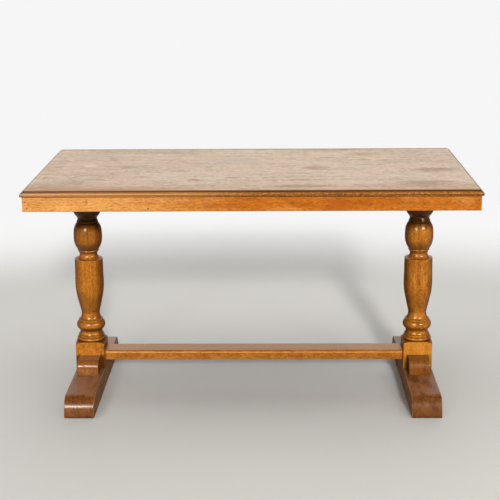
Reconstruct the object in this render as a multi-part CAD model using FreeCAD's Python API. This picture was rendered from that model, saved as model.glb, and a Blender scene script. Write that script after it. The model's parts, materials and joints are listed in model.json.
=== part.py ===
import FreeCAD, Part
import math
import os

# Refectory table on two turned columns, millimetres
# The origin is on the floor under the middle of the top
# +X runs along the table, +Y to its back and +Z up

# Overall sizes
table_height = 730.0
top_length = 1372.0
top_depth = 760.0
end_overhang = 144.0          # from the end of the top to the axis of a column

# Moulded edge of the top, from its upper face down
quirk_depth = 3.0
quirk_flat = 1.6
thumb_radius = 8.0
edge_land = 3.0
edge_round = 3.0              # under the land
board_count = 5

# Dowels in the joints between the boards
dowel_radius = 4.0
dowel_length = 50.0
dowels_per_joint = 5

# Apron under the top
apron_setback = 6.0
apron_thickness = 22.0
apron_height = 45.0
apron_arris = 2.5

# Pins through the long rails into the end rails
pin_radius = 1.1
pin_head_radius = 1.8
pin_head_height = 2.0
pin_length = 36.0
pin_rise = 11.0               # from the foot of the rail to its lower pin
pin_spacing = 18.5            # from the lower pin up to the other
pin_stagger = 6.0             # the lower pin stands this much further in

# Blocks behind the apron
corner_block_size = 36.0
corner_block_height = 34.0
glue_block_size = 20.0
glue_block_length = 70.0
glue_blocks_per_long_rail = 3
glue_blocks_per_end_rail = 2

# Bearers under the top, one over each column
bearer_thickness = 33.0
bearer_screw_offset = 28.0    # each side of the bearer's middle
bearer_screw_bite = 12.0
corner_screw_bite = 14.0
corner_screw_spread = 8.0

# Wood screws with slotted heads
screw_radius = 2.2
screw_head_radius = 4.5
screw_head_height = 3.0
screw_recess = 5.0
slot_width = 1.0
slot_depth = 1.2
screw_clearance = 0.2

# Columns: square blocks at the foot and the head of a turned shaft
post_width = 94.0
post_arris = 1.5
base_block_height = 90.0
head_block_height = 84.0
shoulder_radius = 14.0

# Turned shaft, from the base block up
base_ring_radius = 47.3
base_ring_height = 12.0
base_fillet_radius = 42.4
base_fillet_height = 6.5
scotia_lip_radius = 41.0
scotia_radius = 36.5
scotia_height = 18.5
torus_root_radius = 38.8
torus_radius = 46.7
torus_height = 29.5
torus_fillet_radius = 40.0
torus_fillet_height = 4.5
lower_cove_radius = 38.5
lower_cove_height = 24.0
lower_neck_radius = 29.7
vase_swell_radius = 38.4
vase_shoulder_radius = 45.2
vase_belly_radius = 46.4
ledge_radius = 45.7
ledge_cove_radius = 42.0
ledge_cove_height = 17.0
upper_neck_radius = 28.6
upper_neck_height = 7.5
thin_bead_radius = 34.2
thin_bead_root_radius = 31.0
thin_bead_height = 6.0
urn_root_radius = 33.5
urn_swell_radius = 42.8
urn_belly_radius = 46.2
urn_shoulder_radius = 42.8
urn_top_radius = 36.1
urn_height = 90.0
small_bead_radius = 34.8
small_bead_root_radius = 33.0
small_bead_height = 8.0
head_neck_radius = 30.0
head_neck_height = 9.0
collar_fillet_radius = 33.0
collar_fillet_height = 2.5
collar_swell_radius = 42.2    # half way up the collar
collar_radius = 46.0
collar_height = 24.5

# Tenons of the columns
tenon_width = 46.0
sole_web = 24.0               # wood left in the foot below the lower tenon
glue_room = 1.5               # spare depth at the end of a blind mortise
wedge_thickness = 5.0
wedge_length = 22.0
wedge_offset = 11.0           # each side of the tenon's middle

# Feet
foot_length = 672.0
foot_height = 64.0
toe_radius = 46.0
foot_arris = 2.0

# Step blocks on the feet, in front of and behind each column
step_length = 71.0
step_width = 68.0
step_height = 46.0
step_nose_radius = 24.0
step_arris = 1.5
step_screw_grip = 30.0
step_screw_bite = 22.0

# Coach screws with washers, from under the feet into the columns
coach_radius = 5.0
coach_head_width = 15.0       # across the flats
coach_head_height = 6.0
coach_bite = 14.0             # past the tenon, into the base block
coach_recess = 10.0
washer_radius = 12.0
washer_thickness = 2.0

# Stretcher between the base blocks
stretcher_width = 78.0
stretcher_thickness = 32.0
stretcher_rise = 28.0         # from the top of the foot to its underside
stretcher_arris = 4.0
stretcher_tenon_width = 50.0
stretcher_tenon_thickness = 16.0
stretcher_tenon_length = 30.0

# Places that follow from the sizes
top_thickness = quirk_depth + thumb_radius + edge_land + edge_round
moulding_width = quirk_flat + thumb_radius
under_top = table_height - top_thickness
board_width = top_depth / board_count
column_x = top_length / 2 - end_overhang
apron_x = top_length / 2 - apron_setback
apron_y = top_depth / 2 - apron_setback
inner_x = apron_x - apron_thickness
inner_y = apron_y - apron_thickness
apron_middle = under_top - apron_height / 2
under_bearer = under_top - bearer_thickness
base_block_top = foot_height + base_block_height
head_block_bottom = under_bearer - head_block_height
tenon_foot = sole_web + glue_room
half_post = post_width / 2
half_tenon = tenon_width / 2
stretcher_bottom = foot_height + stretcher_rise
stretcher_end = column_x - half_post
sides = (("left", -1), ("right", 1))
ends = (("front", -1), ("back", 1))
up = FreeCAD.Vector(0, 0, 1)
cove_parts = 6
hair = 1e-6                   # the least length that tells two edges apart


def vector(x, y, z):
    return FreeCAD.Vector(x, y, z)


def block(x0, x1, y0, y1, z0, z1):
    low = vector(min(x0, x1), min(y0, y1), min(z0, z1))
    return Part.makeBox(abs(x1 - x0), abs(y1 - y0), abs(z1 - z0), low)


def rod(radius, start, direction, length):
    return Part.makeCylinder(radius, length, start, direction)


def prism(points, along):
    return Part.Face(Part.makePolygon(points + points[:1])).extrude(along)


def soften(shape, radius, chosen):
    edges = [edge for edge in shape.Edges if chosen(edge)]
    return shape.makeFillet(radius, edges)


def save(name, *solids):
    shape = solids[0] if len(solids) == 1 else Part.makeCompound(list(solids))
    shape.exportStep("parts/" + name + ".step")


# Fasteners: each has its solid and the hole that it needs

def slotted_screw(seat, direction, length):
    head = rod(screw_head_radius, seat, -direction, screw_head_height)
    shank = rod(screw_radius, seat, direction, length)
    across = direction.cross(up)
    if across.Length < 0.5:
        across = vector(1, 0, 0)
    beside = direction.cross(across)
    corner = seat - direction * (screw_head_height - slot_depth)
    corner = corner - across * screw_head_radius - beside * (slot_width / 2)
    outline = [
        corner,
        corner + across * (2 * screw_head_radius),
        corner + across * (2 * screw_head_radius) + beside * slot_width,
        corner + beside * slot_width,
    ]
    slot = prism(outline, -direction * slot_depth)
    return head.cut(slot).fuse(shank).removeSplitter()


def screw_hole(seat, direction, length, recess):
    shank = rod(screw_radius + screw_clearance, seat, direction, length + screw_clearance)
    return shank.fuse(rod(screw_head_radius + screw_clearance, seat, -direction, recess))


def pin(seat, direction):
    head = rod(pin_head_radius, seat, -direction, pin_head_height)
    return head.fuse(rod(pin_radius, seat, direction, pin_length - pin_head_height))


def pin_hole(seat, direction):
    length = pin_length - pin_head_height + screw_clearance
    head = rod(pin_head_radius + screw_clearance, seat, -direction, pin_head_height)
    return head.fuse(rod(pin_radius + screw_clearance, seat, direction, length))


def even_places(count, low, high):
    pitch = (high - low) / count
    return [low + (place + 0.5) * pitch for place in range(count)]


# Top: a slab moulded on all four edges, parted into boards

def edge_outline(half, to_point):
    plane = half - moulding_width
    quirk = table_height - quirk_depth
    land_foot = under_top + edge_round
    land_top = land_foot + edge_land
    turn = math.sqrt(0.5)

    def side(sign):
        return [
            to_point(sign * (half - edge_round), under_top),
            to_point(sign * (half - edge_round * (1 - turn)), land_foot - edge_round * turn),
            to_point(sign * half, land_foot),
            to_point(sign * half, land_top),
            to_point(sign * (half - thumb_radius * (1 - turn)), land_top + thumb_radius * turn),
            to_point(sign * (half - thumb_radius), quirk),
            to_point(sign * plane, quirk),
            to_point(sign * plane, table_height),
        ]

    right, left = side(1), side(-1)
    edges = []
    for run in (right, left):
        edges.append(Part.Arc(*run[0:3]).toShape())
        edges.append(Part.makeLine(run[2], run[3]))
        edges.append(Part.Arc(*run[3:6]).toShape())
        edges.append(Part.makeLine(run[5], run[6]))
        edges.append(Part.makeLine(run[6], run[7]))
    edges.append(Part.makeLine(right[7], left[7]))
    edges.append(Part.makeLine(left[0], right[0]))
    return Part.Face(Part.Wire(Part.__sortEdges__(edges)))


def moulded_slab():
    half_length, half_depth = top_length / 2, top_depth / 2
    lengthwise = edge_outline(half_depth, lambda y, z: vector(-half_length, y, z))
    crosswise = edge_outline(half_length, lambda x, z: vector(x, -half_depth, z))
    along = lengthwise.extrude(vector(top_length, 0, 0))
    return along.common(crosswise.extrude(vector(0, top_depth, 0)))


def board_span(number):
    low = -top_depth / 2 + number * board_width
    return low, low + board_width


def board_joints():
    return [board_span(number)[1] for number in range(board_count - 1)]


def dowel(x, y, radius, length):
    start = vector(x, y - length / 2, under_top + top_thickness / 2)
    return rod(radius, start, vector(0, 1, 0), length)


def dowel_places():
    along = even_places(dowels_per_joint, -top_length / 2, top_length / 2)
    return [(x, y) for y in board_joints() for x in along]


def top_boards(holes):
    slab = moulded_slab()
    radius, length = dowel_radius + screw_clearance, dowel_length + glue_room
    bored = [dowel(x, y, radius, length) for x, y in dowel_places()]
    slab = slab.cut(Part.makeCompound(bored + holes))
    boards = []
    for number in range(board_count):
        low, high = board_span(number)
        strip = block(-top_length / 2, top_length / 2, low, high, under_top, table_height)
        boards.append(slab.common(strip))
    return boards


# Apron: long rails over the ends of the short ones

def long_rail(sign):
    rail = block(-apron_x, apron_x, sign * inner_y, sign * apron_y, under_top - apron_height, under_top)

    def lower_outer(edge):
        box = edge.BoundBox
        return box.XLength > apron_x and box.ZMax < apron_middle and abs(box.YMin) > inner_y + hair

    return soften(rail, apron_arris, lower_outer)


def end_rail(sign):
    rail = block(sign * inner_x, sign * apron_x, -inner_y, inner_y, under_top - apron_height, under_top)

    def lower_outer(edge):
        box = edge.BoundBox
        return box.YLength > inner_y and box.ZMax < apron_middle and abs(box.XMin) > inner_x + hair

    return soften(rail, apron_arris, lower_outer)


def pin_seats():
    pin_x = inner_x + apron_thickness / 2
    lower_z = under_top - apron_height + pin_rise
    places = ((pin_x - pin_stagger / 2, lower_z), (pin_x + pin_stagger / 2, lower_z + pin_spacing))
    seats = []
    for _, x_sign in sides:
        for _, y_sign in ends:
            for x, z in places:
                seat = vector(x_sign * x, y_sign * (apron_y - pin_head_height), z)
                seats.append((seat, vector(0, -y_sign, 0)))
    return seats


def corner_block(x_sign, y_sign):
    return block(
        x_sign * (inner_x - corner_block_size), x_sign * inner_x,
        y_sign * (inner_y - corner_block_size), y_sign * inner_y,
        under_top - corner_block_height, under_top)


def corner_screws(x_sign, y_sign):
    middle = under_top - corner_block_height / 2
    half = corner_block_size / 2
    sunk = corner_block_size - screw_recess
    into_long = vector(x_sign * (inner_x - half), y_sign * (inner_y - sunk), middle + corner_screw_spread)
    into_end = vector(x_sign * (inner_x - sunk), y_sign * (inner_y - half), middle - corner_screw_spread)
    return [(into_long, vector(0, y_sign, 0)), (into_end, vector(x_sign, 0, 0))]


def corner_screw_length():
    return corner_block_size - screw_recess + corner_screw_bite


def long_rail_glue_blocks(sign):
    clear = column_x - half_post
    solids = []
    for x in even_places(glue_blocks_per_long_rail, -clear, clear):
        half = glue_block_length / 2
        solids.append(block(
            x - half, x + half, sign * (inner_y - glue_block_size), sign * inner_y,
            under_top - glue_block_size, under_top))
    return solids


def end_rail_glue_blocks(sign):
    clear = inner_y - corner_block_size
    solids = []
    for y in even_places(glue_blocks_per_end_rail, -clear, clear):
        half = glue_block_length / 2
        solids.append(block(
            sign * (inner_x - glue_block_size), sign * inner_x, y - half, y + half,
            under_top - glue_block_size, under_top))
    return solids


# Bearers and their screws, two for each board beside the middle one

def bearer_screw_seats(sign):
    seats = []
    for number in range(board_count):
        low, high = board_span(number)
        middle = (low + high) / 2
        if abs(middle) < post_width:
            continue
        for offset in (-bearer_screw_offset, bearer_screw_offset):
            seats.append(vector(sign * column_x + offset, middle, under_bearer + screw_recess))
    return seats


def bearer_screw_length():
    return bearer_thickness - screw_recess + bearer_screw_bite


def wedge(sign, offset):
    x = sign * column_x
    y = offset * wedge_offset
    outline = [
        vector(x - half_tenon, y - wedge_thickness / 2, under_top),
        vector(x - half_tenon, y + wedge_thickness / 2, under_top),
        vector(x - half_tenon, y, under_top - wedge_length),
    ]
    return prism(outline, vector(tenon_width, 0, 0))


def bearer(sign):
    x = sign * column_x
    solid = block(x - half_post, x + half_post, -inner_y, inner_y, under_bearer, under_top)
    mortise = block(x - half_tenon, x + half_tenon, -half_tenon, half_tenon, under_bearer, under_top)
    return solid.cut(mortise)


# Columns: the profile of the turning is (radius, height) from the base block up

def smooth(points):
    curve = Part.BSplineCurve()
    curve.interpolate(points)
    return curve.toShape()


class Turning:
    def __init__(self, radius, height):
        self.here = vector(radius, 0, height)
        self.edges = [Part.makeLine(vector(0, 0, height), self.here)]

    def step_to(self, radius):
        self.straight(radius, 0)

    def straight(self, radius, rise):
        there = vector(radius, 0, self.here.z + rise)
        self.edges.append(Part.makeLine(self.here, there))
        self.here = there

    def round(self, middle_radius, radius, rise):
        there = vector(radius, 0, self.here.z + rise)
        middle = vector(middle_radius, 0, self.here.z + rise / 2)
        self.edges.append(Part.Arc(self.here, middle, there).toShape())
        self.here = there

    def cove(self, radius, rise):
        # a quarter of an ellipse, upright at its narrow end and level at its wide one
        wide, narrow = max(self.here.x, radius), min(self.here.x, radius)
        low, high = self.here.z, self.here.z + rise
        widens = radius > self.here.x
        narrow_z, wide_z = (low, high) if widens else (high, low)
        points = []
        for part in range(cove_parts + 1):
            turn = math.pi / 2 * part / cove_parts
            out = wide - (wide - narrow) * math.cos(turn)
            points.append(vector(out, 0, narrow_z + (wide_z - narrow_z) * math.sin(turn)))
        if not widens:
            points.reverse()
        self.edges.append(smooth(points))
        self.here = points[-1]

    def curve(self, shape, rise):
        # each point of the shape is (share of this stretch's own height, radius)
        start = self.here
        points = [start] + [vector(radius, 0, start.z + rise * share) for share, radius in shape]
        self.edges.append(smooth(points))
        self.here = points[-1]

    def solid(self):
        axis_end = vector(0, 0, self.here.z)
        edges = self.edges + [
            Part.makeLine(self.here, axis_end),
            Part.makeLine(axis_end, self.edges[0].Vertexes[0].Point),
        ]
        face = Part.Face(Part.Wire(edges))
        return face.revolve(vector(0, 0, 0), up, 360)


def turned_shaft():
    turning = Turning(base_fillet_radius, base_block_top)
    turning.round(base_ring_radius, base_fillet_radius, base_ring_height)
    turning.straight(base_fillet_radius, base_fillet_height)
    turning.step_to(scotia_lip_radius)
    turning.round(scotia_radius, torus_root_radius, scotia_height)
    turning.round(torus_radius, torus_fillet_radius, torus_height)
    turning.straight(torus_fillet_radius, torus_fillet_height)
    turning.step_to(lower_cove_radius)
    turning.cove(lower_neck_radius, lower_cove_height)
    upper_part = ledge_cove_height + upper_neck_height + thin_bead_height + urn_height
    upper_part += small_bead_height + head_neck_height + collar_fillet_height + collar_height
    vase_height = head_block_bottom - upper_part - turning.here.z
    vase_lower = ((0.21, vase_swell_radius), (0.4, vase_shoulder_radius))
    vase_upper = ((0.7, vase_belly_radius), (1, ledge_radius))
    turning.curve(vase_lower + vase_upper, vase_height)
    turning.step_to(ledge_cove_radius)
    turning.cove(upper_neck_radius, ledge_cove_height)
    turning.straight(thin_bead_root_radius, upper_neck_height)
    turning.round(thin_bead_radius, urn_root_radius, thin_bead_height)
    urn_lower = ((0.21, urn_swell_radius), (0.6, urn_belly_radius))
    urn_upper = ((0.85, urn_shoulder_radius), (1, urn_top_radius))
    turning.curve(urn_lower + urn_upper, urn_height)
    turning.step_to(small_bead_root_radius)
    turning.round(small_bead_radius, small_bead_root_radius, small_bead_height)
    turning.straight(head_neck_radius, head_neck_height)
    turning.step_to(collar_fillet_radius)
    turning.straight(collar_fillet_radius, collar_fillet_height)
    turning.round(collar_swell_radius, collar_radius, collar_height)
    return turning.solid()


def square_block(low, high, shoulder_up):
    # a square block with its corners turned away at the end that meets the shaft
    square = block(-half_post, half_post, -half_post, half_post, low, high)
    square = soften(square, post_arris, lambda edge: edge.BoundBox.ZLength > post_arris)
    corner = half_post * math.sqrt(2)
    flat = corner - shoulder_radius
    turn = math.sqrt(0.5) * shoulder_radius
    end, inward = (high, -1) if shoulder_up else (low, 1)
    far = low if shoulder_up else high
    spring = end + inward * shoulder_radius
    bend = vector(flat + turn, 0, spring - inward * turn)
    edges = [
        Part.makeLine(vector(0, 0, end), vector(flat, 0, end)),
        Part.Arc(vector(flat, 0, end), bend, vector(corner, 0, spring)).toShape(),
        Part.makeLine(vector(corner, 0, spring), vector(corner, 0, far)),
        Part.makeLine(vector(corner, 0, far), vector(0, 0, far)),
        Part.makeLine(vector(0, 0, far), vector(0, 0, end)),
    ]
    return square.common(Part.Face(Part.Wire(edges)).revolve(vector(0, 0, 0), up, 360))


def column(sign):
    solid = turned_shaft()
    solid = solid.fuse(square_block(foot_height, base_block_top, True))
    solid = solid.fuse(square_block(head_block_bottom, under_bearer, False))
    solid = solid.fuse(block(-half_tenon, half_tenon, -half_tenon, half_tenon, tenon_foot, foot_height))
    solid = solid.fuse(block(-half_tenon, half_tenon, -half_tenon, half_tenon, under_bearer, under_top))
    solid = solid.removeSplitter()
    solid.translate(vector(sign * column_x, 0, 0))
    depth = stretcher_tenon_length + glue_room
    solid = solid.cut(stretcher_tenon(sign, depth))
    solid = solid.cut(coach_hole(sign))
    for offset in (-1, 1):
        solid = solid.cut(wedge(sign, offset))
    return solid


# Feet and the step blocks on them

def nosed_bar(y_nose, y_tail, z0, z1, radius, half_width, two_noses):
    # a bar along Y, rounded over the top at its nose and, if asked, at its tail
    turn = 1 - math.sqrt(0.5)
    out = 1 if y_nose > y_tail else -1

    def nose(y, way):
        return (
            vector(-half_width, y, z0),
            vector(-half_width, y, z1 - radius),
            vector(-half_width, y - way * radius * turn, z1 - radius * turn),
            vector(-half_width, y - way * radius, z1),
        )

    first = nose(y_nose, out)
    edges = [Part.makeLine(first[0], first[1]), Part.Arc(*first[1:]).toShape()]
    if two_noses:
        last = nose(y_tail, -out)
        edges.append(Part.makeLine(first[3], last[3]))
        edges.append(Part.Arc(last[3], last[2], last[1]).toShape())
        edges.append(Part.makeLine(last[1], last[0]))
        edges.append(Part.makeLine(last[0], first[0]))
    else:
        top, bottom = vector(-half_width, y_tail, z1), vector(-half_width, y_tail, z0)
        edges.append(Part.makeLine(first[3], top))
        edges.append(Part.makeLine(top, bottom))
        edges.append(Part.makeLine(bottom, first[0]))
    return Part.Face(Part.Wire(edges)).extrude(vector(2 * half_width, 0, 0))


def side_outline(z0, half_width, y_kept):
    # the edges of a bar's two sides, without those at its foot and at a square tail
    def chosen(edge):
        box = edge.BoundBox
        at_side = box.XLength < hair and abs(abs(box.XMin) - half_width) < hair
        at_foot = box.ZMax < z0 + hair
        at_tail = y_kept is not None and box.YLength < hair and abs(box.YMin - y_kept) < hair
        return at_side and not at_foot and not at_tail

    return chosen


def step_screw_place(sign, end):
    return vector(sign * column_x, end * (half_post + step_length / 2), foot_height - step_screw_grip)


def step_screw_length():
    return step_screw_grip + step_screw_bite


def coach_seat(sign):
    return vector(sign * column_x, 0, coach_recess)


def coach_length():
    return foot_height + coach_bite - coach_recess


def coach_hole(sign):
    start = coach_seat(sign)
    return rod(coach_radius + screw_clearance, start, up, coach_length() + screw_clearance)


def coach_screw(sign):
    seat = coach_seat(sign) - up * washer_thickness
    corner = coach_head_width / math.sqrt(3)
    turns = [math.radians(60 * face) for face in range(6)]
    outline = [seat + vector(corner * math.cos(turn), corner * math.sin(turn), 0) for turn in turns]
    head = prism(outline, -up * coach_head_height)
    return head.fuse(rod(coach_radius, seat, up, coach_length() + washer_thickness))


def coach_washer(sign):
    low = coach_seat(sign) - up * washer_thickness
    ring = rod(washer_radius, low, up, washer_thickness)
    return ring.cut(rod(coach_radius + screw_clearance, low, up, washer_thickness))


def foot(sign):
    half = foot_length / 2
    solid = nosed_bar(-half, half, 0, foot_height, toe_radius, half_post, True)
    solid = soften(solid, foot_arris, side_outline(0, half_post, None))
    solid.translate(vector(sign * column_x, 0, 0))
    x = sign * column_x
    solid = solid.cut(block(x - half_tenon, x + half_tenon, -half_tenon, half_tenon, sole_web, foot_height))
    solid = solid.cut(coach_hole(sign))
    recess = rod(washer_radius + screw_clearance, vector(x, 0, 0), up, coach_recess)
    solid = solid.cut(recess)
    for _, end in ends:
        seat = step_screw_place(sign, end)
        solid = solid.cut(screw_hole(seat, up, step_screw_length(), seat.z))
    return solid


def step_block(sign, end):
    tail = end * half_post
    nose = tail + end * step_length
    top = foot_height + step_height
    half_step = step_width / 2
    solid = nosed_bar(nose, tail, foot_height, top, step_nose_radius, half_step, False)
    solid = soften(solid, step_arris, side_outline(foot_height, half_step, tail))
    solid.translate(vector(sign * column_x, 0, 0))
    return solid.cut(screw_hole(step_screw_place(sign, end), up, step_screw_length(), screw_recess))


# Stretcher, with a stub tenon at each end

def stretcher_tenon(sign, length):
    middle = stretcher_bottom + stretcher_thickness / 2
    half_thick = stretcher_tenon_thickness / 2
    return block(
        sign * stretcher_end, sign * (stretcher_end + length),
        -stretcher_tenon_width / 2, stretcher_tenon_width / 2, middle - half_thick, middle + half_thick)


def stretcher():
    top = stretcher_bottom + stretcher_thickness
    rail = block(
        -stretcher_end, stretcher_end, -stretcher_width / 2, stretcher_width / 2, stretcher_bottom, top)

    def upper_long(edge):
        box = edge.BoundBox
        return box.XLength > stretcher_width and box.ZMin > top - hair

    rail = soften(rail, stretcher_arris, upper_long)
    for _, sign in sides:
        rail = rail.fuse(stretcher_tenon(sign, stretcher_tenon_length))
    return rail.removeSplitter()


def build_top():
    holes, screws = [], []
    for _, sign in sides:
        for seat in bearer_screw_seats(sign):
            holes.append(screw_hole(seat, up, bearer_screw_length(), screw_recess))
            screws.append(slotted_screw(seat, up, bearer_screw_length()))
    for number, board in enumerate(top_boards(holes), 1):
        save("top_board_%d" % number, board)
    save("top_dowels", *[dowel(x, y, dowel_radius, dowel_length) for x, y in dowel_places()])
    for side, sign in sides:
        save(side + "_bearer", bearer(sign).cut(Part.makeCompound(holes)))
        save(side + "_tenon_wedges", wedge(sign, -1), wedge(sign, 1))
    save("bearer_screws", *screws)


def build_apron():
    pins = [pin(seat, way) for seat, way in pin_seats()]
    holes = [pin_hole(seat, way) for seat, way in pin_seats()]
    screws = []
    length = corner_screw_length()
    for _, x_sign in sides:
        for _, y_sign in ends:
            for seat, way in corner_screws(x_sign, y_sign):
                holes.append(screw_hole(seat, way, length, screw_recess))
                screws.append(slotted_screw(seat, way, length))
    bored = Part.makeCompound(holes)
    for end, sign in ends:
        save("apron_" + end, long_rail(sign).cut(bored))
        save("glue_blocks_" + end, *long_rail_glue_blocks(sign))
    for side, sign in sides:
        save("apron_" + side, end_rail(sign).cut(bored))
        save("glue_blocks_" + side, *end_rail_glue_blocks(sign))
        for end, y_sign in ends:
            save("corner_block_" + end + "_" + side, corner_block(sign, y_sign).cut(bored))
    save("apron_pins", *pins)
    save("corner_block_screws", *screws)


def build_stand():
    step_screws = []
    for side, sign in sides:
        save(side + "_column", column(sign))
        save(side + "_foot", foot(sign))
        for end, y_sign in ends:
            save(side + "_" + end + "_step", step_block(sign, y_sign))
            step_screws.append(slotted_screw(step_screw_place(sign, y_sign), up, step_screw_length()))
    save("step_screws", *step_screws)
    save("coach_screws", *[coach_screw(sign) for _, sign in sides])
    save("coach_washers", *[coach_washer(sign) for _, sign in sides])
    save("stretcher", stretcher())


os.makedirs("parts", exist_ok=True)
build_top()
build_apron()
build_stand()
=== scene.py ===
import json
import math

import bmesh
import bpy
import numpy as np
from mathutils import Matrix, Vector, noise

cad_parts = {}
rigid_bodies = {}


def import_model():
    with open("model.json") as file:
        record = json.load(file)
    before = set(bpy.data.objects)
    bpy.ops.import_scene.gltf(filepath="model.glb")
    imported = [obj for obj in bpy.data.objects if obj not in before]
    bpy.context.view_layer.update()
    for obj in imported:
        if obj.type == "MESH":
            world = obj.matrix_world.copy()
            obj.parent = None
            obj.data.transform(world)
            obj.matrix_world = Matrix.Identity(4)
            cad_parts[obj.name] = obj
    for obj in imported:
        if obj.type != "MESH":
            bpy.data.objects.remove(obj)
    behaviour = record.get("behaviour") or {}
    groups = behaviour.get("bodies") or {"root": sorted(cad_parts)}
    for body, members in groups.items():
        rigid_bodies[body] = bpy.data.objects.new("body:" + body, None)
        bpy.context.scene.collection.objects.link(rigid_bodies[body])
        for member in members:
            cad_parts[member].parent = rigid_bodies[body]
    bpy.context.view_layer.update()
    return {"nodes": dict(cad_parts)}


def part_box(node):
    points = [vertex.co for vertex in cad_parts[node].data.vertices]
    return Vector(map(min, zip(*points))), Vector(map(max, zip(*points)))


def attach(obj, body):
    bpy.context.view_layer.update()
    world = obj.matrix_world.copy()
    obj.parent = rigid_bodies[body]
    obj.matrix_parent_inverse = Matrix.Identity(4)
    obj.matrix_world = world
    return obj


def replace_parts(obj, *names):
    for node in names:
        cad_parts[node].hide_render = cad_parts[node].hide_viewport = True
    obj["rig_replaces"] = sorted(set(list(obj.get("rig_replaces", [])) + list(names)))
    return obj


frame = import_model()
scene = bpy.context.scene
mm = 0.001
print("frame loaded:", len(frame["nodes"]), "nodes")

# Shader maths: a Wire is an output socket that can stand in a sum


class Wire:
    def __init__(self, desk, socket):
        self.desk = desk
        self.socket = socket

    def other(self, name):
        return Wire(self.desk, self.desk.pick(self.socket.node.outputs, name))

    def work(self, operation, *values):
        kind = "ShaderNodeVectorMath" if self.socket.type == "VECTOR" else "ShaderNodeMath"
        return self.desk.node(kind, {"operation": operation}, dict(enumerate(values)))

    def alone(self, operation):
        return self.work(operation, self)

    def length(self):
        return self.alone("LENGTH").other("Value")

    def __abs__(self):
        return self.alone("ABSOLUTE")

    def __add__(self, value):
        return self.work("ADD", self, value)

    def __radd__(self, value):
        return self.work("ADD", value, self)

    def __sub__(self, value):
        return self.work("SUBTRACT", self, value)

    def __rsub__(self, value):
        return self.work("SUBTRACT", value, self)

    def __mul__(self, value):
        return self.work("MULTIPLY", self, value)

    def __rmul__(self, value):
        return self.work("MULTIPLY", value, self)


class Desk:
    def __init__(self, tree):
        self.tree = tree
        tree.nodes.clear()

    def pick(self, sockets, key):
        if isinstance(key, int):
            return sockets[key]
        exact = [socket for socket in sockets if socket.identifier == key]
        return (exact or [socket for socket in sockets if socket.name == key])[0]

    def node(self, kind, settings=None, sockets=None, out=0):
        made = self.tree.nodes.new(kind)
        for key, value in (settings or {}).items():
            setattr(made, key, value)
        for key, value in (sockets or {}).items():
            socket = self.pick(made.inputs, key)
            if isinstance(value, Wire):
                self.tree.links.new(value.socket, socket)
            else:
                socket.default_value = (*value, 1.0) if socket.type == "RGBA" else value
        return Wire(self, self.pick(made.outputs, out)) if made.outputs else made

    def noise(self, place, stretch, detail=2.0, rough=0.5, out="Fac"):
        sockets = {"Vector": place * stretch, "Scale": 1.0, "Detail": detail, "Roughness": rough}
        return self.node("ShaderNodeTexNoise", {}, sockets, out)

    def span(self, value, low, high, start=0.0, end=1.0):
        sockets = {"Value": value, "From Min": low, "From Max": high, "To Min": start, "To Max": end}
        return self.node("ShaderNodeMapRange", {"interpolation_type": "SMOOTHSTEP"}, sockets)

    def blend(self, first, second, share, how="MIX"):
        sockets = {"Factor_Float": share, "A_Color": first, "B_Color": second}
        return self.node("ShaderNodeMix", {"data_type": "RGBA", "blend_type": how}, sockets, "Result_Color")

    def coats(self, colour, look, *layers):
        # tints laid over one another, each by its own share; a word names a tint of the look
        for tint, share in layers:
            colour = self.blend(colour, look[tint] if isinstance(tint, str) else tint, share)
        return colour

    def ramp(self, value, stops):
        colour = self.node("ShaderNodeValToRGB", {}, {"Fac": value}, "Color")
        elements = colour.socket.node.color_ramp.elements
        while len(elements) > 1:
            elements.remove(elements[-1])
        elements[0].position = stops[0][0]
        elements[0].color = (*stops[0][1], 1.0)
        for place, tint in stops[1:]:
            elements.new(place).color = (*tint, 1.0)
        return colour

    def oval(self, x, y, middle, half, ragged):
        # 1 inside a soft oval, 0 outside it
        across = (x - middle[0]) * (1 / half[0])
        along = (y - middle[1]) * (1 / half[1])
        return self.span(across * across + along * along + ragged, 1.25, -0.1)

    def mark(self, name):
        return self.node("ShaderNodeAttribute", {"attribute_name": name}, {}, "Fac")

    def relief(self, height, depth):
        return self.node("ShaderNodeBump", {}, {"Height": height, "Distance": depth})

    def seen(self):
        # 1 for rays from the camera, straight or by way of a gloss or a glass
        path = self.node("ShaderNodeLightPath", out="Is Camera Ray")
        return path + path.other("Is Glossy Ray") + path.other("Is Transmission Ray")

    def surface(self, colour, roughness, normal, more):
        sockets = {"Base Color": colour, "Roughness": roughness, "Normal": normal, **more}
        return self.node("ShaderNodeBsdfPrincipled", {}, sockets)

    def close(self, shader):
        self.node("ShaderNodeOutputMaterial", {}, {"Surface": shader})


def newFinish(name):
    material = bpy.data.materials.new(name)
    material.use_nodes = True
    return material, Desk(material.node_tree)


def sheen(look):
    return {"Specular IOR Level": look["specular"], "Specular Tint": look["gleam"]}


# Oak: growth rings round a pith, streaks, fibres, pores and flecks, all drawn out along the grain

oakLook = {
    "grain": "X",
    "swayStretch": (1.6, 5.0, 5.0),
    "sway": 0.016,
    "pith": (0.0, 0.02, -0.09),
    "taper": 0.012,
    "ringPitch": 0.0042,
    "streakStretch": (3.0, 42.0, 42.0),
    "fibreStretch": (16.0, 420.0, 420.0),
    "poreStretch": (60.0, 900.0, 900.0),
    "patchStretch": (12.0, 24.0, 24.0),
    "speckStretch": (70.0, 45.0, 45.0),
    "fleckStretch": (60.0, 300.0, 300.0),
}


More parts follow.
